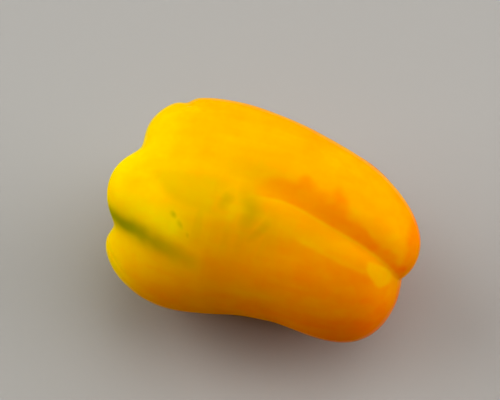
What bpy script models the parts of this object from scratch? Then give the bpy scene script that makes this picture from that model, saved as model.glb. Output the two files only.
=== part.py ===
"""A yellow bell pepper lying on its side, with its green stem.

The pepper lies along X, with its stem end at -X and its blossom end at +X,
and rests on a small flat spot under its belly lobe. Five lobes leave the stem
end, and one of them runs out before the blossom end. The fruit is one solid,
because it grew as one piece. The stem and its calyx are a second piece.
"""

import math
from dataclasses import dataclass

import bmesh
import bpy
import numpy as np
from mathutils import Vector

# Sizes are in millimetres and degrees; an angle round the fruit is counted
# from straight up (+Z) towards the front (-Y)
MM = 0.001
AXIS_HEIGHT = 41.0
FLAT_SPOT_DEPTH = 1.0

# How finely the fruit's grid is cut, and how its points find the skin
FRUIT_CUTS = 23
SETTLE_STEPS = 40
LONGEST_STEP = 2.0
LEAST_CHANGE = 0.35
RELAX_ROUNDS = 12
RELAX_SHARE = 0.5
PULL_STEPS = 3
PROBE = 0.05
TURN_STEP = 1e-4
LEAST_TURN = 1e-6
TINY = 1e-9
LEAST_SLOPE = 0.6

# The plain turned shape that the skin is grown from
BASE_HALF_LENGTH = 48.0
BASE_HALF_WIDTH = 36.0
BASE_SHOULDER = 0.8
BASE_CAVITY_TURN = 0.4
BASE_DIMPLE_TURN = 0.12

# The hollow round the stem and the dimple at the blossom end
CAVITY_CENTRE = (-50.0, 0.0, AXIS_HEIGHT)
CAVITY_DEPTH = 17.0
CAVITY_RADIUS = 16.0
CAVITY_SOFTNESS = 8.0
DIMPLE_CENTRE = (52.5, 2.0, AXIS_HEIGHT - 9.0)
DIMPLE_RADIUS = 7.0
DIMPLE_SOFTNESS = 7.0

# The stem and its calyx
CLEARANCE = 0.55
CALYX_TEETH = 6
CALYX_REACH = 15.0
CALYX_TOOTH = 0.16
CALYX_TOOTH_SHARPNESS = 1.5
CALYX_START = 0.34
CALYX_SPACING = 1.25
CALYX_RIM = 0.9
CALYX_CROWN = 2.6
CALYX_RINGS = 7
STEM_SEGMENTS = 48
STEM_START = 0.22
STEM_RINGS = 12
STEM_RADII = (5.6, 3.5, 4.3)
STEM_RIBS = 6
STEM_RIB_DEPTH = 0.07
STEM_LEAN = 208.0
STEM_CONTROLS = ((0.0, 0.0), (6.0, 0.0), (11.5, 2.5), (11.5, 10.5))


@dataclass(frozen=True)
class Body:
    """A long rounded body; three values mean stem end, middle and blossom end.

    It joins the bodies before it with a softness given at places along X.
    """

    first_x: float
    last_x: float
    girth: tuple
    bluntness: tuple = (2.2, 2.6)
    angle: tuple = (0.0, 0.0, 0.0)
    reach: tuple = None
    softness: tuple = ((-50.0, 4.0), (50.0, 3.0))


# The core, and what joins it one by one: five lobes, and the ledge, a low swelling
# of the front upper lobe along the fold where it meets the back upper one
CORE = Body(first_x=-38.0, last_x=47.0, girth=(29.5, 31.0, 28.5), bluntness=(3.0, 3.0))

LOBES = {
    "back_upper": Body(first_x=-40.0, last_x=56.0, angle=(-40.0, -25.0, 8.0),
                       reach=(43.0, 37.0, 28.5), girth=(22.5, 20.0, 23.5),
                       softness=((-50.0, 3.0), (50.0, 3.0))),
    "front_upper": Body(first_x=-48.0, last_x=53.0, angle=(25.0, 67.0, 120.0),
                        reach=(36.0, 31.5, 40.0), girth=(24.0, 26.0, 28.5),
                        bluntness=(2.2, 4.0),
                        softness=((-48.0, 4.0), (-38.0, 6.0), (-26.0, 14.0), (-8.0, 16.0),
                                  (5.0, 8.0), (18.0, 2.5), (50.0, 2.0))),
    "ledge": Body(first_x=2.0, last_x=50.0, angle=(16.0, 31.0, 56.0),
                  reach=(30.5, 29.2, 21.5), girth=(9.0, 9.0, 9.0), bluntness=(4.0, 4.0),
                  softness=((0.0, 6.0), (25.0, 4.0), (50.0, 3.5))),
    "front_lower": Body(first_x=-46.0, last_x=21.5, angle=(112.0, 121.0, 110.0),
                        reach=(37.5, 35.5, 25.0), girth=(21.5, 26.0, 22.0),
                        softness=((-50.0, 4.0), (50.0, 6.0))),
    "belly": Body(first_x=-49.0, last_x=48.0, angle=(174.0, 180.0, 182.0),
                  reach=(38.5, 41.0, 36.0), girth=(17.5, 25.0, 20.0)),
    "far_back": Body(first_x=-46.0, last_x=49.0, angle=(-104.0, -104.0, -96.0),
                     reach=(41.0, 37.5, 33.0), girth=(17.5, 21.5, 20.0)),
}


def along(values, share):
    """The smooth curve through three values at the start, middle and end."""
    first, middle, last = values
    return (first * (1 - share) * (1 - 2 * share) + 4 * middle * share * (1 - share)
            + last * share * (2 * share - 1))


def blend(first, second, softness):
    """The smaller of two distances, rounded off where they are near each other."""
    overlap = np.maximum(softness - np.abs(first - second), 0.0) / softness
    return np.minimum(first, second) - overlap ** 3 * softness / 6.0


def body_distance(points, body):
    """Signed distance in mm, nearly, from points to one body's surface."""
    x, y, z = points.T
    middle = (body.first_x + body.last_x) / 2
    half = (body.last_x - body.first_x) / 2
    share = np.clip((x - body.first_x) / (2 * half), 0.0, 1.0)
    girth = along(body.girth, share)
    angle = np.radians(along(body.angle, share))
    reach = along(body.reach, share) if body.reach else girth
    offset = reach - girth
    from_line = np.sqrt((y + np.sin(angle) * offset) ** 2
                        + (z - AXIS_HEIGHT - np.cos(angle) * offset) ** 2 + TINY)
    lengthwise = (x - middle) / half
    power = np.where(lengthwise < 0, *body.bluntness)
    ahead = np.abs(lengthwise) + TINY
    across = from_line / girth
    value = across ** 2 + ahead ** power - 1.0
    slope = np.sqrt((2 * across / girth) ** 2 + (power * ahead ** (power - 1) / half) ** 2
                    + (LEAST_SLOPE / girth) ** 2)
    return value / slope


def bowl_distance(points, centre, depth, radius):
    """Signed distance in mm, nearly, to the ball or egg that hollows out an end."""
    x, y, z = (points - np.array(centre)).T
    lengthwise, across = x / depth, np.sqrt(y ** 2 + z ** 2) / radius
    value = np.sqrt(lengthwise ** 2 + across ** 2 + TINY)
    slope = np.sqrt((lengthwise / depth) ** 2 + (across / radius) ** 2 + TINY) / value
    return (value - 1.0) / slope


def skin_distance(points):
    """Signed distance in mm, nearly, to the fruit's skin: below zero inside."""
    distance = body_distance(points, CORE)
    for lobe in LOBES.values():
        softness = np.interp(points[:, 0], *zip(*lobe.softness))
        distance = blend(distance, body_distance(points, lobe), softness)
    cavity = bowl_distance(points, CAVITY_CENTRE, CAVITY_DEPTH, CAVITY_RADIUS)
    dimple = bowl_distance(points, DIMPLE_CENTRE, DIMPLE_RADIUS, DIMPLE_RADIUS)
    distance = -blend(-distance, cavity, CAVITY_SOFTNESS)
    return -blend(-distance, dimple, DIMPLE_SOFTNESS)


def skin_slope(points):
    """The direction in which the skin faces at each point, as unit vectors."""
    slope = np.stack([skin_distance(points + step) - skin_distance(points - step)
                      for step in np.eye(3) * PROBE], axis=1)
    return slope / np.linalg.norm(slope, axis=1, keepdims=True)


def base_profile(turn):
    """The turned shape's X and radius, as turn runs from the stem end to the tip."""
    cavity = CAVITY_DEPTH * np.exp(-(turn / BASE_CAVITY_TURN) ** 2)
    dimple = DIMPLE_RADIUS * np.exp(-((math.pi - turn) / BASE_DIMPLE_TURN) ** 2)
    x = cavity - dimple - BASE_HALF_LENGTH * np.cos(turn)
    return x, BASE_HALF_WIDTH * np.sin(turn) ** BASE_SHOULDER


def base_points(turn, around):
    """Points on the turned shape, and the directions in which it faces there."""
    x, radius = base_profile(np.clip(turn, LEAST_TURN, math.pi - LEAST_TURN))
    x_low, radius_low = base_profile(np.clip(turn - TURN_STEP, LEAST_TURN, None))
    x_high, radius_high = base_profile(np.clip(turn + TURN_STEP, None, math.pi - LEAST_TURN))
    outward, forward = x_high - x_low, radius_low - radius_high
    length = np.hypot(outward, forward)
    points = np.stack([x, -radius * np.sin(around), AXIS_HEIGHT + radius * np.cos(around)], axis=1)
    facing = np.stack([forward / length, -outward / length * np.sin(around),
                       outward / length * np.cos(around)], axis=1)
    return points, facing


def settle(points, facing):
    """Slides points along their directions until they lie on the skin."""
    for _ in range(SETTLE_STEPS):
        distance = skin_distance(points)
        change = (skin_distance(points + facing * PROBE) - distance) / PROBE
        step = -distance / np.maximum(change, LEAST_CHANGE)
        points = points + facing * np.clip(step, -LONGEST_STEP, LONGEST_STEP)[:, None]
    return points


def finish(name, mesh, colour, roughness):
    """Makes an object from a mesh, smooth, with its own material."""
    material = bpy.data.materials.new(name)
    material.use_nodes = True
    shader = material.node_tree.nodes["Principled BSDF"]
    shader.inputs["Base Color"].default_value = (*colour, 1.0)
    shader.inputs["Roughness"].default_value = roughness
    shader.inputs["Metallic"].default_value = 0.0
    mesh.materials.append(material)
    mesh.shade_smooth()
    thing = bpy.data.objects.new(name, mesh)
    bpy.context.scene.collection.objects.link(thing)
    return thing


def pull_in(points):
    """Moves points the shortest way onto the skin."""
    for _ in range(PULL_STEPS):
        points = points - skin_slope(points) * skin_distance(points)[:, None]
    return points


def relax(work):
    """Evens out the mesh: each point drifts to its neighbours' middle, and back to the skin."""
    for _ in range(RELAX_ROUNDS):
        bmesh.ops.smooth_vert(work, verts=work.verts, factor=RELAX_SHARE,
                              use_axis_x=True, use_axis_y=True, use_axis_z=True)
        places = pull_in(np.array([vertex.co for vertex in work.verts]))
        for vertex, place in zip(work.verts, places):
            vertex.co = place


def fruit_mesh():
    """The fruit: a cube's grid, rounded to a ball, then to the turned shape and the skin."""
    work = bmesh.new()
    bmesh.ops.create_cube(work, size=2.0)
    bmesh.ops.subdivide_edges(work, edges=work.edges, cuts=FRUIT_CUTS, use_grid_fill=True)
    ball = np.tan(np.array([vertex.co for vertex in work.verts]) * math.pi / 4)
    ball /= np.linalg.norm(ball, axis=1, keepdims=True)
    turn = np.arccos(-ball[:, 0])
    around = np.arctan2(-ball[:, 1], ball[:, 2])
    for vertex, place in zip(work.verts, settle(*base_points(turn, around))):
        vertex.co = place
    relax(work)
    floor = min(vertex.co.z for vertex in work.verts) + FLAT_SPOT_DEPTH
    for vertex in work.verts:
        vertex.co.z = max(vertex.co.z, floor)
    mesh = bpy.data.meshes.new("fruit")
    work.to_mesh(mesh)
    work.free()
    return mesh


def calyx_rings():
    """The calyx's rings: out along its top from the stem, round its rim, and back below."""
    around = np.arange(STEM_SEGMENTS) * 2 * math.pi / STEM_SEGMENTS
    tooth = np.abs(np.cos(around * CALYX_TEETH / 2)) ** CALYX_TOOTH_SHARPNESS
    rim_turn = np.radians(CALYX_REACH) * (1 - CALYX_TOOTH + CALYX_TOOTH * 2 * tooth)
    top, below = [], []
    for share in np.linspace(CALYX_START, 1.0, CALYX_RINGS):
        skin = settle(*base_points(rim_turn * share ** CALYX_SPACING, around))
        facing = skin_slope(skin)
        height = CALYX_RIM + (CALYX_CROWN - CALYX_RIM) * (1 - share) ** 2
        top.append(skin + facing * (CLEARANCE + height))
        below.append(skin + facing * CLEARANCE)
    return top, below[::-1]


def stem_rings(root):
    """The stem's rings from its cut end down to the calyx, on a bent centre line."""
    lean = math.radians(STEM_LEAN)
    side = np.array([0.0, -math.sin(lean), math.cos(lean)])
    controls = [root + np.array([-out, 0.0, 0.0]) + side * bend for out, bend in STEM_CONTROLS]
    around = np.arange(STEM_SEGMENTS) * 2 * math.pi / STEM_SEGMENTS
    ribs = 1 + STEM_RIB_DEPTH * np.cos(around * STEM_RIBS)
    rings = []
    for share in np.linspace(1.0, STEM_START, STEM_RINGS):
        a, b, c, d = controls
        rest = 1 - share
        centre = (a * rest ** 3 + b * 3 * rest ** 2 * share + c * 3 * rest * share ** 2
                  + d * share ** 3)
        heading = ((b - a) * rest ** 2 + (c - b) * 2 * rest * share + (d - c) * share ** 2)
        tilt = Vector((-1, 0, 0)).rotation_difference(Vector(heading)).to_matrix()
        radius = along(STEM_RADII, share) * ribs
        flat = np.stack([0 * around, -radius * np.sin(around), radius * np.cos(around)], axis=1)
        rings.append(centre + flat @ np.array(tilt).T)
    return rings


def stem_mesh():
    """The stem and its calyx as one closed skin, bridged ring by ring."""
    top, below = calyx_rings()
    root = below[-1].mean(axis=0)
    work = bmesh.new()
    loops = [[work.verts.new(place) for place in ring]
             for ring in stem_rings(root) + top + below]
    for near, far in zip(loops, loops[1:]):
        for index in range(STEM_SEGMENTS):
            after = (index + 1) % STEM_SEGMENTS
            work.faces.new((near[index], near[after], far[after], far[index]))
    for loop in (loops[0], loops[-1]):
        bmesh.ops.poke(work, faces=[work.faces.new(loop)])
    bmesh.ops.recalc_face_normals(work, faces=work.faces)
    mesh = bpy.data.meshes.new("stem")
    work.to_mesh(mesh)
    work.free()
    return mesh


def to_rest(meshes):
    """Puts the origin under the middle of the whole pepper, and turns mm into metres."""
    places = [np.array([vertex.co for vertex in mesh.vertices]) for mesh in meshes]
    every = np.concatenate(places)
    low, high = every.min(axis=0), every.max(axis=0)
    origin = np.array([(low[0] + high[0]) / 2, (low[1] + high[1]) / 2, low[2]])
    for mesh, place in zip(meshes, places):
        mesh.vertices.foreach_set("co", ((place - origin) * MM).ravel())
        mesh.update()


def main():
    """Clears the file and builds the two pieces."""
    for thing in list(bpy.data.objects):
        bpy.data.objects.remove(thing)
    fruit, stem = fruit_mesh(), stem_mesh()
    to_rest([fruit, stem])
    finish("fruit", fruit, colour=(0.95, 0.45, 0.0), roughness=0.25)
    finish("stem", stem, colour=(0.12, 0.25, 0.04), roughness=0.6)


main()
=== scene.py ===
"""A yellow bell pepper lying on its side, dressed for its photograph.

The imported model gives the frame: the fruit and its stem at their real size. This
script grows both again with a finer skin, gives each the finish of the real thing,
and stands them on a pale floor in soft studio light.

Sizes in the classes are millimetres and degrees. The pepper lies along X with its
stem end at -X, and an angle round it is counted from straight up (+Z) towards the
front (-Y).
"""

import logging
import math
from collections.abc import Callable
from dataclasses import dataclass, field
from enum import Enum
from typing import Any

import bmesh
import bpy
import numpy as np
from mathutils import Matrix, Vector, noise


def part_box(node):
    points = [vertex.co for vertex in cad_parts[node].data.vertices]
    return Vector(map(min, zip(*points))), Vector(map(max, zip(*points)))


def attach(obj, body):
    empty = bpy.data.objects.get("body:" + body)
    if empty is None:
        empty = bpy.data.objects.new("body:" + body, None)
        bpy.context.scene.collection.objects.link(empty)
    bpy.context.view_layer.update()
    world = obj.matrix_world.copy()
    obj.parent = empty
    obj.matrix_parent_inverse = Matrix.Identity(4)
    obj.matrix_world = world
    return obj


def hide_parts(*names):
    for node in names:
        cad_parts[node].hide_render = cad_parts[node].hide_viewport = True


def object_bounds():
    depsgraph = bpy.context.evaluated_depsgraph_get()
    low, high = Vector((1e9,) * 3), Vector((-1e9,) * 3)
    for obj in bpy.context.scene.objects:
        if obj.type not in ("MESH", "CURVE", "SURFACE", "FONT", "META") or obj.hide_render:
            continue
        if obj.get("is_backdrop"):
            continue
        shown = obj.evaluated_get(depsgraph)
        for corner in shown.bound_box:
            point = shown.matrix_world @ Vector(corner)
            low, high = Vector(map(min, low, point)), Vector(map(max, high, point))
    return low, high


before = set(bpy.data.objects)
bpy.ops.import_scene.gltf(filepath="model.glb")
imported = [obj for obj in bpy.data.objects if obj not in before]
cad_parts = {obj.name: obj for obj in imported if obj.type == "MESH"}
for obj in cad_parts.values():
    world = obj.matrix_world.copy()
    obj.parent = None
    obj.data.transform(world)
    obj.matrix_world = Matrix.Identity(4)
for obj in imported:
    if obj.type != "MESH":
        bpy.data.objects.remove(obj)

log = logging.getLogger("bell_pepper")

MM = 0.001
BODY = "root"

# What keeps a root or a power off zero
TINY = 1e-9

# A colour Mix node's sockets: its share, its two colours and its result
MIX_SHARE, MIX_FIRST, MIX_SECOND, MIX_RESULT = 0, 6, 7, 2

Pair = tuple[float, float]
Triple = tuple[float, float, float]
Colour = tuple[float, float, float, float]


class Slot(Enum):
    """The record's material slots."""

    SKIN = "skin"
    STEM = "stem"


class Mark(Enum):
    """What the skin's own points carry for its colour, one number each."""

    # The ripeness mark also carries painted shade and painted highlights
    RIPENESS_AND_LIGHT = "ripeness"
    GREEN = "green_flush"


class Side(Enum):
    """On which side of the long furrow a band of colour lies."""

    EITHER = 0
    ABOVE = -1
    BELOW = 1


def linear(colour: str) -> Colour:
    """Turns an sRGB hex colour into Blender's linear colour.

    Args:
        colour: The colour, such as "#ffcc00".

    Returns:
        Red, green, blue and an alpha of 1.
    """
    parts = [int(colour[start:start + 2], 16) / 255 for start in (1, 3, 5)]
    red, green, blue = (part / 12.92 if part <= 0.04045 else ((part + 0.055) / 1.055) ** 2.4
                        for part in parts)
    return red, green, blue, 1.0


def add_node(owner: bpy.types.Material | bpy.types.World, kind: str,
             settings: dict[str | int, Any] | None = None,
             links: dict[str | int, bpy.types.NodeSocket] | None = None) -> bpy.types.Node:
    """Adds one shader node with its settings and the links into it.

    Args:
        owner: The material or world that holds the node tree.
        kind: The node's type name, less the word ShaderNode before it.
        settings: Property names or input names or numbers, each with its value.
        links: Input names or numbers, each with the output that feeds it.

    Returns:
        The new node.
    """
    node = owner.node_tree.nodes.new("ShaderNode" + kind)
    for name, value in (settings or {}).items():
        if isinstance(name, str) and hasattr(node, name):
            setattr(node, name, value)
        else:
            node.inputs[name].default_value = value
    for name, output in (links or {}).items():
        owner.node_tree.links.new(output, node.inputs[name])
    return node


def bare_material(name: str) -> bpy.types.Material:
    """Makes a material with an empty node tree.

    Args:
        name: The material's name.

    Returns:
        The material.
    """
    material = bpy.data.materials.new(name)
    material.use_nodes = True
    material.node_tree.nodes.clear()
    return material


def smooth_step(values: np.ndarray, low: float, high: float) -> np.ndarray:
    """Rises smoothly from 0 at low to 1 at high."""
    share = np.clip((values - low) / (high - low), 0.0, 1.0)
    return share * share * (3.0 - 2.0 * share)


def along(values: Triple, share: np.ndarray | float) -> np.ndarray | float:
    """Reads the smooth curve through three values.

    Args:
        values: The values at the start, middle and end.
        share: How far along, from 0 at the start to 1 at the end.

    Returns:
        The curve's value at each share.
    """
    first, middle, last = values
    return (first * (1 - share) * (1 - 2 * share) + 4 * middle * share * (1 - share)
            + last * share * (2 * share - 1))


def blend(first: np.ndarray, second: np.ndarray, softness: float | np.ndarray) -> np.ndarray:
    """Gives the smaller of two distances, rounded off where they are near each other."""
    overlap = np.maximum(softness - np.abs(first - second), 0.0) / softness
    return np.minimum(first, second) - overlap ** 3 * softness / 6.0


def turned(angles: np.ndarray, start: float | np.ndarray) -> np.ndarray:
    """Gives how far angles are turned past another, from -180 to 180 degrees."""
    return (angles - start + 180.0) % 360.0 - 180.0


def waves(points: np.ndarray, size: float | Triple) -> np.ndarray:
    """Reads smooth natural noise at each point.

    Args:
        points: Places in mm, one row each.
        size: How far apart the waves are, in mm, the same or one value for each axis.

    Returns:
        One value a point, mostly between -0.7 and 0.7.
    """
    return np.array([noise.noise(Vector(place)) for place in points / np.array(size)])


def loft(name: str, rings: list[np.ndarray], shift: np.ndarray) -> bpy.types.Object:
    """Skins a row of rings as one closed mesh and links it to the scene.

    Args:
        name: The object's name.
        rings: The rings' places in mm, all with the same number of points.
        shift: What is added to every place, in mm.

    Returns:
        The closed, smooth object, with a fan of faces over its first and last ring.
    """
    work = bmesh.new()
    loops = [[work.verts.new((place + shift) * MM) for place in ring] for ring in rings]
    for near, far in zip(loops, loops[1:]):
        for start in range(len(near)):
            after = (start + 1) % len(near)
            work.faces.new((near[start], near[after], far[after], far[start]))
    for loop in (loops[0], loops[-1]):
        bmesh.ops.poke(work, faces=[work.faces.new(loop)])
    bmesh.ops.recalc_face_normals(work, faces=work.faces)
    return place_mesh(name, work)


def place_mesh(name: str, work: bmesh.types.BMesh) -> bpy.types.Object:
    """Turns a bmesh into a smooth object at the origin, and frees it.

    Args:
        name: The object's name.
        work: The bmesh.

    Returns:
        The object, linked to the scene.
    """
    mesh = bpy.data.meshes.new(name)
    work.to_mesh(mesh)
    work.free()
    mesh.shade_smooth()
    thing = bpy.data.objects.new(name, mesh)
    bpy.context.scene.collection.objects.link(thing)
    return thing


def tie(thing: bpy.types.Object, material: bpy.types.Material,
        replaced: str | None = None) -> None:
    """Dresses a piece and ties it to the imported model.

    Args:
        thing: The piece.
        material: Its material.
        replaced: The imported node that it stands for, if any.
    """
    thing.data.materials.append(material)
    if replaced:
        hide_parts(replaced)
    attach(thing, BODY)


@dataclass(frozen=True)
class Body:
    """A long rounded body; three values mean stem end, middle and blossom end.

    Its girth is its own radius. It leans out from the fruit's middle line at an angle,
    as far as its reach, and its bluntness says how squarely each end closes. Its
    softness rounds the furrow between it and the bodies before it, given at places
    along X. The least slope keeps distances small near its own middle line.
    """

    first_x: float
    last_x: float
    girth: Triple
    bluntness: Pair = (2.2, 2.6)
    angle: Triple = (0.0, 0.0, 0.0)
    reach: Triple | None = None
    softness: tuple[Pair, ...] = ((-50.0, 4.0), (50.0, 3.0))
    least_slope: float = 0.6

    def distance(self, points: np.ndarray, axis_height: float) -> np.ndarray:
        """Measures how far points are from this body's surface.

        Args:
            points: Places in mm, one row each.
            axis_height: The height of the fruit's middle line.

        Returns:
            Nearly the signed distance in mm, below zero inside.
        """
        x, y, z = points.T
        middle, half = (self.first_x + self.last_x) / 2, (self.last_x - self.first_x) / 2
        share = np.clip((x - self.first_x) / (2 * half), 0.0, 1.0)
        girth = along(self.girth, share)
        angle = np.radians(along(self.angle, share))
        offset = (along(self.reach, share) if self.reach else girth) - girth
        from_line = np.sqrt((y + np.sin(angle) * offset) ** 2
                            + (z - axis_height - np.cos(angle) * offset) ** 2 + TINY)
        lengthwise = (x - middle) / half
        power = np.where(lengthwise < 0, *self.bluntness)
        ahead = np.abs(lengthwise) + TINY
        across = from_line / girth
        value = across ** 2 + ahead ** power - 1.0
        slope = np.sqrt((2 * across / girth) ** 2
                        + (power * ahead ** (power - 1) / half) ** 2
                        + (self.least_slope / girth) ** 2)
        return value / slope


@dataclass(frozen=True)
class Hollow:
    """An egg-shaped hollow at one end of the fruit."""

    centre: Triple
    depth: float
    radius: float
    softness: float

    def carve(self, points: np.ndarray, skin: np.ndarray) -> np.ndarray:
        """Takes the hollow out of the fruit.

        Args:
            points: Places in mm, one row each.
            skin: The signed distance of each place to the skin so far.

        Returns:
            The signed distances with the hollow taken out.
        """
        x, y, z = (points - np.array(self.centre)).T
        lengthwise, across = x / self.depth, np.sqrt(y ** 2 + z ** 2) / self.radius
        value = np.sqrt(lengthwise ** 2 + across ** 2 + TINY)
        slope = np.sqrt((lengthwise / self.depth) ** 2
                        + (across / self.radius) ** 2 + TINY) / value
        return -blend(-skin, (value - 1.0) / slope, self.softness)


@dataclass(frozen=True)
class SkinForm:
    """The fruit's outer form: a core, the lobes that join it one by one, and two hollows.

    The lobe front_upper meets back_upper in the long furrow that crosses the side seen
    in the photograph. It is soft as far as the middle, and runs to a crisp fold at the
    blossom end, along which the lobe swells into a low ledge.
    """

    axis_height: float = 41.0
    core: Body = Body(first_x=-38.0, last_x=47.0, girth=(29.5, 31.0, 28.5), bluntness=(3.0, 3.0))
    back_upper: Body = Body(first_x=-40.0, last_x=56.0, angle=(-40.0, -25.0, 8.0),
                            reach=(43.0, 37.0, 28.5), girth=(22.5, 20.0, 23.5),
                            softness=((-50.0, 3.0), (50.0, 3.0)))
    front_upper: Body = Body(first_x=-48.0, last_x=53.0, angle=(25.0, 67.0, 120.0),
                             reach=(36.0, 31.5, 40.0), girth=(24.0, 26.0, 28.5),
                             bluntness=(2.2, 4.0),
                             softness=((-48.0, 4.0), (-38.0, 6.0), (-26.0, 14.0), (-8.0, 16.0),
                                       (5.0, 8.0), (18.0, 2.5), (50.0, 0.5)))
    ledge: Body = Body(first_x=2.0, last_x=50.0, angle=(16.0, 31.0, 56.0),
                       reach=(30.5, 29.2, 21.5), girth=(9.0, 9.0, 9.0), bluntness=(4.0, 4.0),
                       softness=((0.0, 6.0), (25.0, 4.0), (50.0, 3.5)))
    front_lower: Body = Body(first_x=-46.0, last_x=21.5, angle=(112.0, 121.0, 110.0),
                             reach=(37.5, 35.5, 25.0), girth=(21.5, 26.0, 22.0),
                             softness=((-50.0, 4.0), (50.0, 6.0)))
    belly: Body = Body(first_x=-49.0, last_x=48.0, angle=(174.0, 180.0, 182.0),
                       reach=(38.5, 41.0, 36.0), girth=(17.5, 25.0, 20.0))
    far_back: Body = Body(first_x=-46.0, last_x=49.0, angle=(-104.0, -104.0, -96.0),
                          reach=(41.0, 37.5, 33.0), girth=(17.5, 21.5, 20.0))
    ledge_softness: float = 3.5
    cavity: Hollow = Hollow(centre=(-50.0, 0.0, 41.0), depth=17.0, radius=16.0, softness=8.0)
    dimple: Hollow = Hollow(centre=(52.5, 2.0, 32.0), depth=7.0, radius=7.0, softness=7.0)

    def distance(self, points: np.ndarray) -> np.ndarray:
        """Measures how far points are from the skin.

        Args:
            points: Places in mm, one row each.

        Returns:
            Nearly the signed distance in mm, below zero inside.
        """
        skin = self.core.distance(points, self.axis_height)
        for lobe in (self.back_upper, self.front_upper, self.ledge, self.front_lower,
                     self.belly, self.far_back):
            skin = blend(skin, lobe.distance(points, self.axis_height),
                         np.interp(points[:, 0], *zip(*lobe.softness)))
        return self.dimple.carve(points, self.cavity.carve(points, skin))

    def facing(self, points: np.ndarray) -> np.ndarray:
        """Gives the unit direction in which the skin faces at each point."""
        slope = self.slope(self.distance, points)
        return slope / np.linalg.norm(slope, axis=1, keepdims=True)

    @staticmethod
    def slope(measure: Callable[[np.ndarray], np.ndarray], points: np.ndarray) -> np.ndarray:
        """Gives how fast a measured distance grows along X, Y and Z at each point.

        Args:
            measure: A function from places to distances.
            points: Places in mm, one row each.

        Returns:
            The three slopes at each point.
        """
        reach = 0.05
        return np.stack([measure(points + step) - measure(points - step)
                         for step in np.eye(3) * reach], axis=1) / (2 * reach)

    def pull_in(self, points: np.ndarray, rounds: int = 3) -> np.ndarray:
        """Moves points the shortest way onto the skin.

        Args:
            points: Places in mm, one row each.
            rounds: How many times the move is repeated.

        Returns:
            The places on the skin.
        """
        for _ in range(rounds):
            points = points - self.facing(points) * self.distance(points)[:, None]
        return points

    def slide(self, points: np.ndarray, facing: np.ndarray) -> np.ndarray:
        """Slides points along fixed directions until they lie on the skin.

        Args:
            points: Places in mm, one row each.
            facing: The unit directions, which point outwards.

        Returns:
            The places on the skin.
        """
        rounds, probe, longest, least_change = 40, 0.05, 2.0, 0.35
        for _ in range(rounds):
            distance = self.distance(points)
            change = (self.distance(points + facing * probe) - distance) / probe
            step = np.clip(-distance / np.maximum(change, least_change), -longest, longest)
            points = points + facing * step[:, None]
        return points

    def past_fold(self, points: np.ndarray) -> np.ndarray:
        """Measures how far each skin point lies below the long furrow's fold.

        Args:
            points: Places on the skin in mm, one row each.

        Returns:
            The distance along the skin in mm, below zero on the upper lobe.
        """
        def apart(places: np.ndarray) -> np.ndarray:
            """Tells how much nearer the lobe below the fold is than the one above.

            Args:
                places: Places in mm, one row each.

            Returns:
                The difference of the distances in mm.
            """
            above, below, ledge = (lobe.distance(places, self.axis_height)
                                   for lobe in (self.back_upper, self.front_upper, self.ledge))
            return above - blend(below, ledge, self.ledge_softness)

        least_slope = 0.15
        facing = self.facing(points)
        slope = self.slope(apart, points)
        slope -= facing * (slope * facing).sum(axis=1, keepdims=True)
        return apart(points) / np.maximum(np.linalg.norm(slope, axis=1), least_slope)

    def gather(self, points: np.ndarray, share: float, width: float) -> np.ndarray:
        """Draws points towards the long furrow's fold, so that the mesh is finest there.

        Args:
            points: Places on the skin in mm, one row each.
            share: How much of its distance from the fold a point at the fold loses.
            width: How far from the fold the pull reaches, in mm.

        Returns:
            The places on the skin, closer together at the fold.
        """
        least_slope = 0.5
        away = self.past_fold(points)
        ahead = self.slope(self.past_fold, points)
        facing = self.facing(points)
        ahead -= facing * (ahead * facing).sum(axis=1, keepdims=True)
        ahead /= np.maximum(np.linalg.norm(ahead, axis=1, keepdims=True), least_slope)
        near_fold = np.abs(self.back_upper.distance(points, self.axis_height)) / width
        pull = share * away * np.exp(-(away / width) ** 2 - near_fold ** 2)
        return self.pull_in(points - ahead * pull[:, None])


@dataclass(frozen=True)
class TurnedShape:
    """The plain turned shape whose grid of points is moved onto the skin."""

    axis_height: float = 41.0
    half_length: float = 48.0
    half_width: float = 36.0
    shoulder: float = 0.8
    cavity_depth: float = 17.0
    cavity_turn: float = 0.4
    dimple_depth: float = 7.0
    dimple_turn: float = 0.12

    def profile(self, turn: np.ndarray) -> tuple[np.ndarray, np.ndarray]:
        """Reads the outline.

        Args:
            turn: From 0 at the stem end to pi at the blossom end.

        Returns:
            The X and the radius at each turn.
        """
        cavity = self.cavity_depth * np.exp(-(turn / self.cavity_turn) ** 2)
        dimple = self.dimple_depth * np.exp(-((math.pi - turn) / self.dimple_turn) ** 2)
        x = cavity - dimple - self.half_length * np.cos(turn)
        return x, self.half_width * np.sin(turn) ** self.shoulder

    def points(self, turn: np.ndarray, around: np.ndarray) -> tuple[np.ndarray, np.ndarray]:
        """Places points on the turned shape.

        Args:
            turn: From 0 at the stem end to pi at the blossom end.
            around: The angle round the axis in radians.

        Returns:
            The places and the directions in which the shape faces there.
        """
        step, least = 1e-4, 1e-6
        x, radius = self.profile(np.clip(turn, least, math.pi - least))
        x_low, radius_low = self.profile(np.clip(turn - step, least, None))
        x_high, radius_high = self.profile(np.clip(turn + step, None, math.pi - least))
        outward, forward = x_high - x_low, radius_low - radius_high
        length = np.hypot(outward, forward)
        places = np.stack([x, -radius * np.sin(around),
                           self.axis_height + radius * np.cos(around)], axis=1)
        facing = np.stack([forward / length, -outward / length * np.sin(around),
                           outward / length * np.cos(around)], axis=1)
        return places, facing


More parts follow.
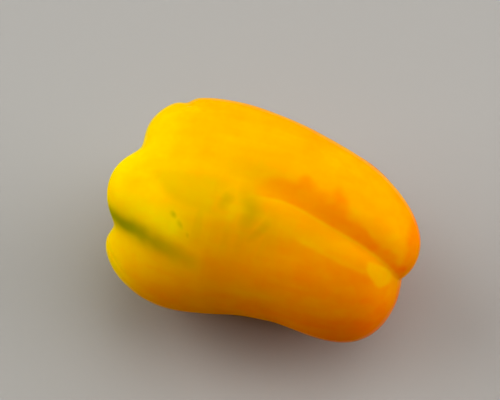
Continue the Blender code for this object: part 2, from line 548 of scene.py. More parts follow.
@dataclass(frozen=True)
class Survey:
    """Skin points with their place along, round and past the fold of the fruit."""

    points: np.ndarray
    angles: np.ndarray
    radius: np.ndarray
    past_fold: np.ndarray

    @classmethod
    def of(cls, points: np.ndarray, form: SkinForm) -> "Survey":
        """Surveys skin points.

        Args:
            points: Places on the skin in mm, one row each.
            form: The form on which they lie.

        Returns:
            The survey.
        """
        angles = np.degrees(np.arctan2(-points[:, 1], points[:, 2] - form.axis_height))
        radius = np.hypot(points[:, 1], points[:, 2] - form.axis_height)
        return cls(points, angles, radius, form.past_fold(points))

    def round_from(self, angle: float | np.ndarray) -> np.ndarray:
        """Gives each point's distance round the fruit from an angle, in mm."""
        return np.radians(turned(self.angles, angle)) * self.radius

    def below(self, line: tuple[Pair, ...]) -> np.ndarray:
        """Gives how far round the fruit each point is past a line of X and angle, in mm."""
        stations, angles = zip(*line)
        return self.round_from(np.interp(self.points[:, 0], stations, angles))

    def away(self, line: tuple[Pair, ...]) -> tuple[np.ndarray, np.ndarray]:
        """Measures each point against a line of X and angle.

        Args:
            line: The line's places, each an X in mm and an angle.

        Returns:
            The distance along the skin in mm, and the share of the line at the nearest
            place, from 0 at its start to 1 at its end.
        """
        nearest = np.full(len(self.points), np.inf)
        passed = np.zeros(len(self.points))
        for index, ((x, angle), (next_x, next_angle)) in enumerate(zip(line, line[1:])):
            run = next_x - x
            climb = math.radians(next_angle - angle) * self.radius
            out, over = self.points[:, 0] - x, self.round_from(angle)
            share = np.clip((out * run + over * climb) / (run ** 2 + climb ** 2), 0.0, 1.0)
            away = np.hypot(out - share * run, over - share * climb)
            passed = np.where(away < nearest, (index + share) / (len(line) - 1), passed)
            nearest = np.minimum(nearest, away)
        return nearest, passed


@dataclass(frozen=True)
class Streak:
    """A soft-edged streak along the skin, through places given as X and angle.

    Its three strengths hold at its start, middle and end, and a ragged one wanders by
    up to that many mm.
    """

    line: tuple[Pair, ...]
    width: float
    strength: Triple
    ragged: float = 0.0
    ragged_size: float = 4.0

    def cover(self, survey: Survey) -> np.ndarray:
        """Works out how strongly the streak shows.

        Args:
            survey: The skin's points.

        Returns:
            One value a point.
        """
        away, passed = survey.away(self.line)
        if self.ragged:
            away = np.abs(away + waves(survey.points, self.ragged_size) * self.ragged)
        return along(self.strength, passed) * np.exp(-(away / self.width) ** 2)


@dataclass(frozen=True)
class Band:
    """A band of colour between two lines of X and angle, on one side of the fold.

    Each edge fades over its soft width in mm, and a ragged one wanders. A patchy band
    loses that share of its strength in patches.
    """

    upper: tuple[Pair, ...]
    lower: tuple[Pair, ...]
    strength: float
    span: Pair
    side: Side = Side.EITHER
    soft_upper: float = 3.0
    soft_lower: float = 3.0
    soft_ends: float = 5.0
    soft_fold: float = 0.6
    ragged: float = 0.0
    ragged_size: float = 5.0
    patchy: float = 0.0
    patch_size: Triple = (3.2, 13.0, 13.0)
    patch_edge: float = 0.35

    def cover(self, survey: Survey) -> np.ndarray:
        """Works out how strongly the band shows.

        Args:
            survey: The skin's points.

        Returns:
            One value a point.
        """
        wander = waves(survey.points, self.ragged_size) * self.ragged if self.ragged else 0.0
        first, last = self.span
        x = survey.points[:, 0]
        cover = smooth_step(survey.below(self.upper) + wander, 0.0, self.soft_upper)
        cover *= smooth_step(-survey.below(self.lower) + wander, 0.0, self.soft_lower)
        cover *= smooth_step(x, first, first + self.soft_ends)
        cover *= smooth_step(-x, -last, self.soft_ends - last)
        if self.side is not Side.EITHER:
            cover *= smooth_step(survey.past_fold * self.side.value, 0.0, self.soft_fold)
        if self.patchy:
            gaps = smooth_step(waves(survey.points, self.patch_size),
                               -self.patch_edge, self.patch_edge)
            cover *= 1.0 - self.patchy * gaps
        return self.strength * cover


@dataclass(frozen=True)
class Furrow:
    """A shallow line pressed into the skin."""

    line: tuple[Pair, ...]
    width: float
    depth: Triple

    def press(self, survey: Survey) -> np.ndarray:
        """Gives how deep the line lies at each surveyed point, in mm."""
        away, passed = survey.away(self.line)
        return along(self.depth, passed) * np.exp(-(away / self.width) ** 2)


@dataclass(frozen=True)
class PepperSkin:
    """Ripe pepper skin: a thin waxy film over juicy flesh, grown smooth.

    The film gives a clean soft gloss with rounded highlights. The flesh under it
    lets light in and gives it back yellow, so no blue is left in the colour. The
    colour turns from yellow to orange with ripeness, whose mark also carries painted
    shade and painted highlights, and a green flush stays in the furrows. The speckle
    is as coarse as it needs to be to show.
    """

    unripe: str = "#f7e200"
    ripe: str = "#f67c00"
    green: str = "#989a00"
    sheen: str = "#ffdc80"
    ior: float = 1.45
    roughness: float = 0.28
    shine: float = 0.13
    glow: float = 0.6
    glow_mm: float = 6.0
    glow_reach: Triple = (1.0, 0.4, 0.1)
    mottle_mm: float = 7.0
    streak_mm: float = 4.0
    streak_stretch: Triple = (0.12, 1.0, 1.0)
    uneven_span: Pair = (0.6, 1.4)
    unevenness: float = 0.07
    speckle_mm: float = 0.8
    speckle_relief: float = 0.05
    speckle_relief_mm: float = 0.2

    def material(self) -> bpy.types.Material:
        """Builds the skin's material.

        Returns:
            The material, driven by the marks on the mesh and by noise in real sizes.
        """
        skin = bare_material("ripe pepper skin")
        place = add_node(skin, "TexCoord").outputs["Object"]
        # The ripeness mark also carries painted shade and painted highlights, which tint the
        # colour
        ripeness, green = (
            add_node(skin, "Attribute", {"attribute_name": mark.value}).outputs["Fac"]
            for mark in (Mark.RIPENESS_AND_LIGHT, Mark.GREEN))
        mottle = add_node(skin, "TexNoise",
                          {"Scale": 1 / (self.mottle_mm * MM), "Detail": 3.0},
                          {"Vector": place}).outputs["Fac"]
        stretched = add_node(skin, "Mapping", {"Scale": self.streak_stretch},
                             {"Vector": place}).outputs["Vector"]
        streaks = add_node(skin, "TexNoise",
                           {"Scale": 1 / (self.streak_mm * MM), "Detail": 2.0},
                           {"Vector": stretched}).outputs["Fac"]
        uneven = add_node(skin, "Math", {"operation": "ADD"}, {0: mottle, 1: streaks})
        least, most = self.uneven_span
        change = add_node(skin, "MapRange",
                          {"From Min": least, "From Max": most,
                           "To Min": -self.unevenness, "To Max": self.unevenness},
                          {"Value": uneven.outputs["Value"]}).outputs["Result"]
        share = add_node(skin, "Math", {"operation": "ADD", "use_clamp": True},
                         {0: ripeness, 1: change}).outputs["Value"]
        flesh = add_node(skin, "Mix",
                         {"data_type": "RGBA", MIX_FIRST: linear(self.unripe),
                          MIX_SECOND: linear(self.ripe)},
                         {MIX_SHARE: share}).outputs[MIX_RESULT]
        colour = add_node(skin, "Mix", {"data_type": "RGBA", MIX_SECOND: linear(self.green)},
                          {MIX_SHARE: green, MIX_FIRST: flesh}).outputs[MIX_RESULT]
        speckle = add_node(skin, "TexNoise",
                           {"Scale": 1 / (self.speckle_mm * MM), "Detail": 2.0},
                           {"Vector": place}).outputs["Fac"]
        bump = add_node(skin, "Bump", {"Strength": self.speckle_relief,
                                       "Distance": self.speckle_relief_mm * MM},
                        {"Height": speckle}).outputs["Normal"]
        shader = add_node(skin, "BsdfPrincipled",
                          {"IOR": self.ior, "Roughness": self.roughness,
                           "Specular IOR Level": self.shine, "Specular Tint": linear(self.sheen),
                           "Subsurface Weight": self.glow, "Subsurface Scale": self.glow_mm * MM,
                           "Subsurface Radius": self.glow_reach},
                          {"Base Color": colour, "Normal": bump})
        add_node(skin, "OutputMaterial", None, {"Surface": shader.outputs["BSDF"]})
        return skin


@dataclass(frozen=True)
class StemSkin:
    """Fresh green stem: fibrous plant skin with fine ribs, matt and a little waxy.

    The fibres run along the stem and give it thin pale lines.
    """

    green: str = "#4d7018"
    pale: str = "#8ea23c"
    ior: float = 1.45
    roughness: float = 0.48
    fibre_mm: float = 0.9
    fibre_stretch: Triple = (0.2, 1.0, 1.0)
    pale_span: Pair = (0.35, 0.7)
    relief: float = 0.35
    relief_mm: float = 0.3

    def material(self) -> bpy.types.Material:
        """Builds the stem's material.

        Returns:
            The material, with its fibres along X.
        """
        stem = bare_material("fresh green stem")
        place = add_node(stem, "TexCoord").outputs["Object"]
        grain = add_node(stem, "Mapping", {"Scale": self.fibre_stretch},
                         {"Vector": place}).outputs["Vector"]
        fibre = add_node(stem, "TexNoise",
                         {"Scale": 1 / (self.fibre_mm * MM), "Detail": 4.0},
                         {"Vector": grain}).outputs["Fac"]
        first, last = self.pale_span
        spread = add_node(stem, "MapRange", {"From Min": first, "From Max": last},
                          {"Value": fibre}).outputs["Result"]
        colour = add_node(stem, "Mix",
                          {"data_type": "RGBA", MIX_FIRST: linear(self.green),
                           MIX_SECOND: linear(self.pale)},
                          {MIX_SHARE: spread}).outputs[MIX_RESULT]
        bump = add_node(stem, "Bump", {"Strength": self.relief, "Distance": self.relief_mm * MM},
                        {"Height": fibre}).outputs["Normal"]
        shader = add_node(stem, "BsdfPrincipled",
                          {"IOR": self.ior, "Roughness": self.roughness},
                          {"Base Color": colour, "Normal": bump})
        add_node(stem, "OutputMaterial", None, {"Surface": shader.outputs["BSDF"]})
        return stem


@dataclass(frozen=True)
class DryFibre:
    """Dried plant fibre: the stem's cut end, and the scar that the blossom left.

    It has lost its water, so it is matt and tan, with darker pits between the fibres.
    """

    tan: str = "#a58a55"
    dark: str = "#5d4722"
    ior: float = 1.45
    roughness: float = 0.8
    pit_mm: float = 0.5
    relief: float = 0.5
    relief_mm: float = 0.2

    def material(self) -> bpy.types.Material:
        """Builds the dry fibre's material.

        Returns:
            The material, tan with dark pits.
        """
        dry = bare_material("dried plant fibre")
        place = add_node(dry, "TexCoord").outputs["Object"]
        pits = add_node(dry, "TexVoronoi", {"Scale": 1 / (self.pit_mm * MM)},
                        {"Vector": place}).outputs["Distance"]
        colour = add_node(dry, "Mix",
                          {"data_type": "RGBA", MIX_FIRST: linear(self.dark),
                           MIX_SECOND: linear(self.tan)},
                          {MIX_SHARE: pits}).outputs[MIX_RESULT]
        bump = add_node(dry, "Bump", {"Strength": self.relief, "Distance": self.relief_mm * MM},
                        {"Height": pits}).outputs["Normal"]
        shader = add_node(dry, "BsdfPrincipled",
                          {"IOR": self.ior, "Roughness": self.roughness},
                          {"Base Color": colour, "Normal": bump})
        add_node(dry, "OutputMaterial", None, {"Surface": shader.outputs["BSDF"]})
        return dry


@dataclass
class Fruit:
    """The fruit: its skin grown on a fine grid, with its marks.

    A coarse grid is evened out on the skin, halved into a fine one, and drawn towards
    the long furrow's fold. Ripeness and green flush go from 0 to 1. Ripeness grows
    along the fruit and round it from its least ripe angle, and the marks change it.
    Round the fruit, the deeper orange towards the underside is partly ripeness and
    partly painted shade, and several marks paint shade and highlights into it.
    """

    form: SkinForm = SkinForm()
    base: TurnedShape = TurnedShape()
    first_cuts: int = 31
    relax_rounds: int = 12
    halvings: int = 2
    halved_rounds: int = 2
    drift: float = 0.5
    flat_spot_depth: float = 1.0
    fold_pull: float = 0.6
    fold_reach: float = 5.0
    wave_sizes: Pair = (17.0, 6.0)
    wave_heights: Pair = (0.3, 0.05)
    furrows: tuple[Furrow, ...] = (
        # The kink in the far lobe's shoulder, and a fine line on the lower front lobe
        Furrow(line=((-30.0, -48.0), (-26.0, -33.0), (-14.0, -24.0)), width=2.4,
               depth=(1.0, 0.9, 0.0)),
        Furrow(line=((-45.0, 91.0), (-38.0, 90.0), (-32.0, 93.0)), width=0.6,
               depth=(0.1, 0.25, 0.0)),
    )
    ripe_middle: float = 0.375
    ripe_lengthwise: float = 0.004
    # Deeper orange round the fruit away from its top: partly ripeness, partly painted shade
    # towards the underside
    ripeness_and_shade_round: float = 0.42
    unripe_angle: float = 20.0
    round_span: Pair = (12.0, 92.0)
    shoulder_span: Pair = (-46.0, -20.0)
    # Marks that change ripeness; several of them are painted shade and painted highlights
    ripeness_and_light_marks: tuple[Band | Streak, ...] = (
        # A deeper orange patch above the fold: painted shade on the flank that turns away from the
        # light, its ragged upper edge a painted reflection edge
        Band(upper=((4.0, 5.0), (9.0, -1.0), (20.0, -1.0), (28.0, 1.0), (33.0, 7.0), (39.0, 14.0),
                    (45.0, 21.0), (52.0, 34.0)),
             lower=((0.0, 60.0), (50.0, 70.0)), span=(0.0, 60.0), strength=0.2, side=Side.ABOVE,
             soft_upper=4.0, soft_ends=10.0, soft_fold=1.2, ragged=4.2),
        # The flank below the fold, deeper orange: painted shade where the lobe turns down, away
        # from the light
        Band(upper=((-10.0, 22.0), (50.0, 30.0)), lower=((-10.0, 80.0), (50.0, 72.0)),
             span=(-16.0, 58.0), strength=0.12, side=Side.BELOW, soft_upper=7.0, soft_lower=12.0,
             soft_ends=14.0),
        # The ledge, a little riper, and a pale streak along its crest, a painted highlight
        Band(upper=((-10.0, -20.0), (50.0, 0.0)),
             lower=((-5.0, 22.0), (12.0, 28.0), (20.0, 33.0), (28.0, 40.0), (38.0, 46.0),
                    (47.0, 50.0)),
             span=(0.0, 49.0), strength=0.05, side=Side.BELOW, soft_lower=2.0, soft_ends=12.0,
             ragged=1.0),
        Band(upper=((18.0, 25.0), (30.0, 29.0), (38.0, 35.0), (44.0, 41.0)),
             lower=((18.0, 35.0), (23.0, 38.0), (30.0, 41.5), (36.0, 45.0), (43.0, 49.0)),
             span=(16.0, 46.0), strength=-0.15, side=Side.BELOW, soft_upper=6.0, soft_lower=1.5),
        # A lemon corner at the ledge's tip, a painted highlight
        Band(upper=((38.0, 34.0), (50.0, 42.0)), lower=((39.0, 40.0), (46.0, 60.0), (50.5, 62.0)),
             span=(40.0, 50.0), strength=-0.22, side=Side.BELOW, soft_upper=1.5, soft_lower=1.5,
             soft_ends=2.0),
        # The blossom end: deep orange above the fold, painted shade where the tip turns away from
        # the light, and a little paler below it
        Band(upper=((45.0, -90.0), (60.0, -90.0)), lower=((45.0, 34.0), (60.0, 80.0)),
             span=(49.8, 70.0), strength=0.19, side=Side.ABOVE, soft_upper=10.0, soft_ends=3.0),
        Band(upper=((45.0, 20.0), (60.0, 20.0)), lower=((45.0, 110.0), (60.0, 110.0)),
             span=(48.5, 70.0), strength=-0.06, side=Side.BELOW, soft_lower=10.0, soft_ends=2.0),
        # The upper lobe's back paler, a painted highlight where it faces the light, and the paler
        # shoulders
        Band(upper=((10.0, -70.0), (50.0, -70.0)), lower=((10.0, -8.0), (50.0, -8.0)),
             span=(14.0, 52.0), strength=-0.1, soft_upper=12.0, soft_lower=10.0, soft_ends=12.0),
        Band(upper=((-60.0, -90.0), (-10.0, -90.0)),
             lower=((-60.0, 44.0), (-44.0, 42.0), (-32.0, 10.0), (-10.0, -6.0)),
             span=(-70.0, -14.0), strength=-0.1, soft_upper=12.0, soft_lower=12.0,
             soft_ends=16.0),
        # Lemon streaks in the mottling
        Streak(line=((-9.5, 22.0), (-10.0, 27.0), (-10.0, 33.0)), width=1.6,
               strength=(-0.02, -0.07, -0.03)),
        Streak(line=((-2.0, 22.0), (-1.8, 28.0), (-2.5, 34.0)), width=1.3,
               strength=(-0.03, -0.1, -0.04)),
        # A pale streak along the front lobe's shoulder above the green groove, a painted highlight
        Streak(line=((-38.0, 36.0), (-28.0, 41.0), (-19.0, 42.0)), width=3.5,
               strength=(-0.05, -0.12, -0.25)),
    )
    green_marks: tuple[Band | Streak, ...] = (
        # The green groove between the two front lobes
        Streak(line=((-50.0, 57.0), (-40.0, 55.5), (-30.0, 55.0), (-20.0, 57.0), (-6.0, 61.0)),
               width=3.3, strength=(0.76, 0.76, 0.0), ragged=0.8),
        # An olive cast over the front lobe
        Band(upper=((-36.0, 2.0), (0.0, 6.0)), lower=((-36.0, 16.0), (-20.0, 34.0), (0.0, 40.0)),
             span=(-38.0, 2.0), strength=0.2, soft_upper=6.0, soft_lower=5.0, soft_ends=12.0),
        Band(upper=((-20.0, 12.0), (12.0, 15.0)), lower=((-20.0, 58.0), (12.0, 60.0)),
             span=(-26.0, 20.0), strength=0.2, side=Side.BELOW, soft_upper=6.0,
             soft_lower=14.0, soft_ends=14.0, patchy=0.35),
        # Olive mottling, as soft streaks
        Streak(line=((-4.0, 17.0), (-5.0, 22.0), (-6.0, 29.0)), width=2.6,
               strength=(0.15, 0.32, 0.1), ragged=1.0),
        Streak(line=((1.0, 17.0), (4.0, 25.0), (2.5, 36.0)), width=3.4,
               strength=(0.2, 0.38, 0.15), ragged=0.8),
        Streak(line=((10.0, 26.0), (8.0, 33.0), (3.0, 42.0)), width=2.2,
               strength=(0.1, 0.28, 0.1), ragged=0.5),
        # Three small scars
        Streak(line=((-20.0, 35.5), (-19.0, 37.0)), width=0.9, strength=(0.3, 0.42, 0.3)),
        Streak(line=((-17.5, 39.0), (-16.0, 42.0)), width=0.9, strength=(0.2, 0.32, 0.2)),
        Streak(line=((-14.0, 44.0), (-13.5, 46.0)), width=0.7, strength=(0.15, 0.25, 0.15)),
    )
    shift: np.ndarray = field(default_factory=lambda: np.zeros(3))

    def build(self) -> bpy.types.Object:
        """Grows the fruit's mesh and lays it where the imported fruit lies.

        Returns:
            The fruit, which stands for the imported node.
        """
        work = self.grid()
        for _ in range(self.halvings):
            bmesh.ops.subdivide_edges(work, edges=work.edges, cuts=1, use_grid_fill=True)
            for _ in range(self.halved_rounds):
                self.even_out(work)
        skin = self.form.gather(self.places(work), self.fold_pull, self.fold_reach)
        survey = Survey.of(skin, self.form)
        floor = skin[:, 2].min() + self.flat_spot_depth
        skin = skin + self.form.facing(skin) * self.relief(survey)[:, None]
        skin[:, 2] = np.maximum(skin[:, 2], floor)
        low, high = (np.array(corner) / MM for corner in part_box("fruit"))
        self.shift = (low + high - skin.min(axis=0) - skin.max(axis=0)) / 2
        self.shift[2] = low[2] - floor
        self.move(work, (skin + self.shift) * MM)
        thing = place_mesh("pepper_fruit", work)
        for mark, values in self.marks(survey).items():
            layer = thing.data.attributes.new(mark.value, "FLOAT", "POINT")
            layer.data.foreach_set("value", values.astype(np.float32))
        return thing

    def grid(self) -> bmesh.types.BMesh:
        """Lays a cube's even grid of faces over the skin.

        Returns:
            The mesh, in mm.
        """
        work = bmesh.new()
        bmesh.ops.create_cube(work, size=2.0)
        bmesh.ops.subdivide_edges(work, edges=work.edges, cuts=self.first_cuts, use_grid_fill=True)
        ball = np.tan(self.places(work) * math.pi / 4)
        ball /= np.linalg.norm(ball, axis=1, keepdims=True)
        turn, around = np.arccos(-ball[:, 0]), np.arctan2(-ball[:, 1], ball[:, 2])
        self.move(work, self.form.slide(*self.base.points(turn, around)))
        for _ in range(self.relax_rounds):
            self.even_out(work)
        return work

    @staticmethod
    def places(work: bmesh.types.BMesh) -> np.ndarray:
        """Reads every point's place."""
        return np.array([vertex.co for vertex in work.verts])

    @staticmethod
    def move(work: bmesh.types.BMesh, places: np.ndarray) -> None:
        """Sets every point's place."""
        for vertex, place in zip(work.verts, places):
            vertex.co = place

    def even_out(self, work: bmesh.types.BMesh) -> None:
        """Lets each point drift to its neighbours' middle, and pulls it back to the skin.

        Args:
            work: The fruit's mesh, in mm.
        """
        bmesh.ops.smooth_vert(work, verts=work.verts, factor=self.drift,
                              use_axis_x=True, use_axis_y=True, use_axis_z=True)
        self.move(work, self.form.pull_in(self.places(work), rounds=1))

    def relief(self, survey: Survey) -> np.ndarray:
        """Works out how high the skin's slow waves stand, less its pressed lines.

        Args:
            survey: The skin's points.

        Returns:
            One height a point, in mm.
        """
        height = sum(waves(survey.points, size) * tall
                     for size, tall in zip(self.wave_sizes, self.wave_heights))
        return height - sum(furrow.press(survey) for furrow in self.furrows)

    def marks(self, survey: Survey) -> dict[Mark, np.ndarray]:
        """Works out the skin's ripeness, with its painted shade and painted highlights, and its
        green flush at each point.

        Args:
            survey: The skin's points.

        Returns:
            One value a point for each mark, from 0 to 1.
        """
        away = np.abs(turned(survey.angles, self.unripe_angle))
        along_fruit = survey.points[:, 0]
        ripe = (self.ripe_middle + self.ripe_lengthwise * along_fruit
                + self.ripeness_and_shade_round * smooth_step(away, *self.round_span)
                * smooth_step(along_fruit, *self.shoulder_span))
        ripe += sum(mark.cover(survey) for mark in self.ripeness_and_light_marks)
        green = np.zeros(len(survey.points))
        for mark in self.green_marks:
            green = np.maximum(green, mark.cover(survey))
        return {Mark.RIPENESS_AND_LIGHT: np.clip(ripe, 0.0, 1.0), Mark.GREEN: green}

    def dress(self, thing: bpy.types.Object) -> None:
        """Gives the fruit its skin and ties it to the frame."""
        tie(thing, PepperSkin().material(), "fruit")


@dataclass
class Stem:
    """The stem with its toothed calyx, which sits in the hollow at the stem end.

    A share goes from 0 at the calyx's middle to 1 at its rim, along the stalk from 0 at
    its root to 1 at its cut end, and over the cut from 0 at its middle.
    """

    fruit: Fruit
    segments: int = 144
    clearance: float = 0.55
    teeth: int = 6
    reach: float = 15.0
    tooth: float = 0.16
    tooth_sharpness: float = 1.5
    rim: float = 0.9
    crown: float = 2.6
    vein: float = 0.28
    wrinkle: float = 0.25
    wrinkle_mm: float = 2.5
    calyx_rings: int = 22
    calyx_start: float = 0.34
    calyx_spacing: float = 1.25
    stem_rings: int = 30
    stem_start: float = 0.22
    radii: Triple = (5.6, 3.5, 4.3)
    ribs: int = 6
    rib_depth: float = 0.09
    rib_swing: float = 1.5
    rib_sharpness: float = 0.7
    swell: float = 0.03
    swell_mm: float = 3.0
    lean: float = 208.0
    bend: tuple[Pair, ...] = ((0.0, 0.0), (6.0, 0.0), (11.5, 2.5), (11.5, 10.5))
    cut_rings: int = 10
    cut_span: Pair = (0.06, 0.93)
    cut_middle: float = 0.15
    cut_lip: float = 0.22
    lip_span: Pair = (0.55, 0.9)
    under_share: float = 0.98
    under: float = 0.3

    def build(self) -> tuple[bpy.types.Object, bpy.types.Object]:
        """Builds the stem and its cut end.

        Returns:
            The stem with its calyx, and the dry face of its cut end.
        """
        top, below = self.calyx()
        stalk = self.stalk(below[-1].mean(axis=0))
        stem = loft("pepper_stem", stalk + top + below, self.fruit.shift)
        return stem, loft("stem_cut_face", self.cut_face(stalk[0]), self.fruit.shift)

    def around(self) -> np.ndarray:
        """Gives the angles of a ring's points, in radians."""
        return np.arange(self.segments) * 2 * math.pi / self.segments

    def calyx(self) -> tuple[list[np.ndarray], list[np.ndarray]]:
        """Works out the calyx's rings on the skin of the hollow.

        Returns:
            The rings out along its top, and the rings back along its underside.
        """
        around = self.around()
        tooth = np.abs(np.cos(around * self.teeth / 2)) ** self.tooth_sharpness
        rim_turn = np.radians(self.reach) * (1 - self.tooth + self.tooth * 2 * tooth)
        top, below = [], []
        for share in np.linspace(self.calyx_start, 1.0, self.calyx_rings):
            points = self.fruit.form.slide(
                *self.fruit.base.points(rim_turn * share ** self.calyx_spacing, around))
            facing = self.fruit.form.facing(points)
            height = self.rim + (self.crown - self.rim) * (1 - share) ** 2
            vein = self.vein * tooth * math.sin(math.pi * share)
            wrinkle = (waves(points, self.wrinkle_mm) * self.wrinkle
                       * math.sin(math.pi * share))
            top.append(points + facing * (self.clearance + height + vein + wrinkle)[:, None])
            below.append(points + facing * self.clearance)
        return top, below[::-1]

    def stalk(self, root: np.ndarray) -> list[np.ndarray]:
        """Works out the stalk's rings from its cut end down to the calyx.

        Args:
            root: Where the stalk's bent middle line starts, in mm.

        Returns:
            The rings' places.
        """
        lean = math.radians(self.lean)
        side = np.array([0.0, -math.sin(lean), math.cos(lean)])
        a, b, c, d = (root + np.array([-out, 0.0, 0.0]) + side * over
                      for out, over in self.bend)
        around = self.around()
        rings = []
        for share in np.linspace(1.0, self.stem_start, self.stem_rings):
            rest = 1 - share
            centre = (a * rest ** 3 + b * 3 * rest ** 2 * share + c * 3 * rest * share ** 2
                      + d * share ** 3)
            heading = (b - a) * rest ** 2 + (c - b) * 2 * rest * share + (d - c) * share ** 2
            tilt = Vector((-1, 0, 0)).rotation_difference(Vector(heading)).to_matrix()
            ridge = np.abs(np.cos(around * self.ribs / 2)) ** self.rib_sharpness
            rib = 1 - self.rib_depth * (1 - ridge) * self.rib_swing
            radius = along(self.radii, share) * (rib + self.rib_depth / 2)
            flat = np.stack([0 * around, -radius * np.sin(around), radius * np.cos(around)],
                            axis=1)
            ring = centre + flat @ np.array(tilt).T
            swell = waves(ring, self.swell_mm) * self.swell
            rings.append(ring + (ring - centre) * swell[:, None])
        return rings

    def cut_face(self, end: np.ndarray) -> list[np.ndarray]:
        """Works out the rings of the thin, slightly sunk face on the stem's cut end.

        Args:
            end: The stalk's last ring.

        Returns:
            The rings, out along the face and back just under it.
        """
        centre = end.mean(axis=0)
        out = np.cross(end[0] - centre, end[self.segments // 4] - centre)
        out = -out / np.linalg.norm(out)
        top = []
        for share in np.linspace(*self.cut_span, self.cut_rings):
            lip = self.cut_lip * smooth_step(np.array([share]), *self.lip_span)[0]
            top.append(centre + (end - centre) * share + out * (self.cut_middle + lip))
        return top + [centre + (ring - centre) * self.under_share - out * self.under
                      for ring in top[::-1]]

    def dress(self, stem: bpy.types.Object, cut: bpy.types.Object) -> None:
        """Gives the stem and its cut end their finishes and ties them to the frame."""
        tie(stem, StemSkin().material(), "stem")
        tie(cut, DryFibre().material())


@dataclass
class BlossomScar:
    """The small corky scar at the bottom of the dimple at the blossom end.

    It is a low ring with a sunk middle, in which a stub of the flower stands.
    """

    fruit: Fruit
    segments: int = 64
    rings: int = 24
    first_ring: float = 0.06
    radius: float = 2.7
    unevenness: float = 0.12
    edge_scale: float = 3.0
    edge_mm: float = 1.6
    pit_mm: float = 0.7
    lip: float = 0.45
    lip_at: float = 0.72
    lip_width: float = 0.2
    stub: float = 0.55
    stub_width: float = 0.28
    under: float = 0.3

    def build(self) -> bpy.types.Object:
        """Builds the scar as a thin ringed button on the skin.

        Returns:
            The scar, a closed piece of its own.
        """
        form = self.fruit.form
        around = np.arange(self.segments) * 2 * math.pi / self.segments
        circle = np.stack([0 * around, -np.sin(around), np.cos(around)], axis=1)
        uneven = 1 + self.unevenness * waves(circle * self.edge_scale, self.edge_mm)
        edge = circle * self.radius * uneven[:, None]
        top, below = [], []
        for share in np.linspace(self.first_ring, 1.0, self.rings):
            points = form.slide(np.array(form.dimple.centre) + edge * share,
                                np.tile((1.0, 0.0, 0.0), (self.segments, 1)))
            facing = form.facing(points)
            lift = (self.lip * math.exp(-((share - self.lip_at) / self.lip_width) ** 2)
                    + self.stub * math.exp(-(share / self.stub_width) ** 2)
                    + waves(points, self.pit_mm) * self.unevenness)
            top.append(points + facing * lift[:, None])
            below.append(points - facing * self.under)
        return loft("blossom_scar", top + below[::-1], self.fruit.shift)

    def dress(self, thing: bpy.types.Object) -> None:
        """Gives the scar its finish and ties it to the frame."""
        tie(thing, DryFibre(tan="#b08a48", dark="#6b4f24").material())


@dataclass(frozen=True)
class SoftLamp:
    """One broad far lamp, so wide across that its shadows have no edge."""

    name: str
    compass: float
    elevation: float
    width: float
    strength: float

    def build(self) -> None:
        """Hangs the lamp. Its strength is the brightness of a white sheet that faces it."""
        turn, tilt = math.radians(self.compass), math.radians(self.elevation)
        away = Vector((math.cos(turn) * math.cos(tilt), math.sin(turn) * math.cos(tilt),
                       math.sin(tilt)))
        lamp = bpy.data.lights.new(self.name, "SUN")
        lamp.energy = self.strength * math.pi
        lamp.angle = math.radians(self.width)
        thing = bpy.data.objects.new(self.name, lamp)
        thing.location = away
        thing.rotation_euler = away.to_track_quat("Z", "Y").to_euler()
        bpy.context.scene.collection.objects.link(thing)


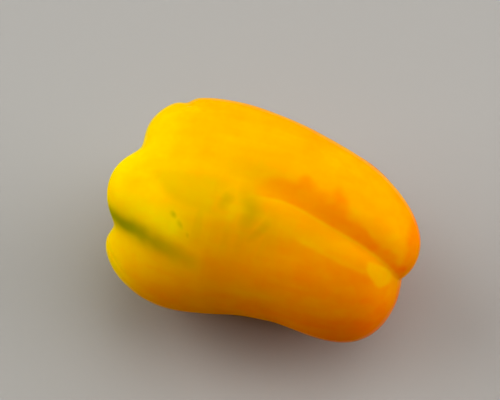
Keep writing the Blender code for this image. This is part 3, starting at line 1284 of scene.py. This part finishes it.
@dataclass
class Studio:
    """The floor, the lamps and the camera, set by where the photograph was taken from.

    The camera looks at a place in the fruit's own frame, moved aside and upward across
    the picture. The film's contrast is a curve through pairs of light in and light out.
    """

    azimuth: float = 15.6
    elevation: float = 60.0
    camera_distance: float = 325.5
    nearest_seen: float = 10.0
    lens_mm: float = 70.0
    sensor_mm: float = 36.0
    aim: Triple = (0.0, 0.0, 40.0)
    aside: float = -0.5
    upward: float = 6.6
    floor_half_width: float = 6000.0
    floor_colour: str = "#b1afab"
    floor_roughness: float = 0.9
    sky_colour: str = "#e9e7e4"
    sky_strength: float = 0.05
    horizon_strength: float = 0.7
    horizon_height: float = 0.16
    black_level: float = 0.05
    contrast: tuple[Pair, ...] = ((0.2, 0.14), (0.5, 0.425), (0.75, 0.68))
    lamps: tuple[SoftLamp, ...] = (
        SoftLamp("overhead", compass=0.0, elevation=89.0, width=70.0, strength=0.41),
        SoftLamp("behind", compass=50.0, elevation=52.0, width=70.0, strength=0.36),
        SoftLamp("right", compass=20.0, elevation=15.0, width=60.0, strength=0.56),
        SoftLamp("left", compass=182.0, elevation=29.0, width=60.0, strength=0.67),
    )

    def build(self, shift: np.ndarray) -> None:
        """Sets up the camera, the lamps, the sky and the floor.

        Args:
            shift: What was added to the fruit's own places to lay it in the frame, in mm.
        """
        self.set_camera(shift)
        self.set_film()
        for lamp in self.lamps:
            lamp.build()
        self.light_sky()
        self.lay_floor()

    def set_camera(self, shift: np.ndarray) -> None:
        """Stands the camera where the photograph was taken from.

        Args:
            shift: What was added to the fruit's own places to lay it in the frame, in mm.
        """
        turn, tilt = math.radians(self.azimuth), math.radians(self.elevation)
        back = Vector((math.sin(turn) * math.cos(tilt), -math.cos(turn) * math.cos(tilt),
                       math.sin(tilt)))
        right = Vector((math.cos(turn), math.sin(turn), 0.0))
        middle = Vector(self.aim) + Vector(shift)
        target = (middle + right * self.aside + back.cross(right) * self.upward) * MM
        camera = bpy.data.cameras.new("camera")
        camera.lens = self.lens_mm
        camera.sensor_width = self.sensor_mm
        camera.clip_start = self.nearest_seen * MM
        thing = bpy.data.objects.new("camera", camera)
        thing.location = target + back * self.camera_distance * MM
        thing.rotation_euler = back.to_track_quat("Z", "Y").to_euler()
        bpy.context.scene.collection.objects.link(thing)
        bpy.context.scene.camera = thing

    def set_film(self) -> None:
        """Sets how light turns into colour: plainly, with clear blacks as in the photograph."""
        film = bpy.context.scene.view_settings
        film.view_transform = "Standard"
        film.use_curve_mapping = True
        film.curve_mapping.black_level = (self.black_level,) * 3
        for point in self.contrast:
            film.curve_mapping.curves[-1].points.new(*point)
        film.curve_mapping.update()

    def light_sky(self) -> None:
        """Lights the sky: pale at the horizon, and only a little fill above it."""
        world = bpy.data.worlds.new("soft sky")
        world.use_nodes = True
        world.node_tree.nodes.clear()
        upward = add_node(world, "TexCoord").outputs["Generated"]
        height = add_node(world, "SeparateXYZ", None, {"Vector": upward}).outputs["Z"]
        strength = add_node(world, "MapRange",
                            {"interpolation_type": "SMOOTHSTEP", "From Min": self.horizon_height,
                             "From Max": 0.0, "To Min": self.sky_strength,
                             "To Max": self.horizon_strength}, {"Value": height})
        shade = add_node(world, "Background", {"Color": linear(self.sky_colour)},
                         {"Strength": strength.outputs["Result"]})
        add_node(world, "OutputWorld", None, {"Surface": shade.outputs["Background"]})
        bpy.context.scene.world = world

    def lay_floor(self) -> None:
        """Lays the plain pale floor at the level on which the pepper rests."""
        board = bare_material("matt pale board")
        shader = add_node(board, "BsdfPrincipled",
                          {"Base Color": linear(self.floor_colour),
                           "Roughness": self.floor_roughness})
        add_node(board, "OutputMaterial", None, {"Surface": shader.outputs["BSDF"]})
        work = bmesh.new()
        bmesh.ops.create_grid(work, x_segments=1, y_segments=1, size=self.floor_half_width * MM)
        floor = place_mesh("floor", work)
        floor.data.materials.append(board)
        floor.location.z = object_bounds()[0][2]
        floor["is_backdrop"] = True


def main() -> None:
    """Builds the pepper piece by piece, then the studio, and logs each piece's face count."""
    logging.basicConfig(level=logging.INFO, format="%(message)s")
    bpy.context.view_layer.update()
    fruit = Fruit()
    skin = fruit.build()
    fruit.dress(skin)
    log.info("fruit: %d faces", len(skin.data.polygons))
    stem = Stem(fruit)
    pieces = stem.build()
    stem.dress(*pieces)
    log.info("stem and cut end: %d faces", sum(len(piece.data.polygons) for piece in pieces))
    scar = BlossomScar(fruit)
    button = scar.build()
    scar.dress(button)
    log.info("blossom scar: %d faces", len(button.data.polygons))
    Studio().build(fruit.shift)


if __name__ == "__main__":
    main()
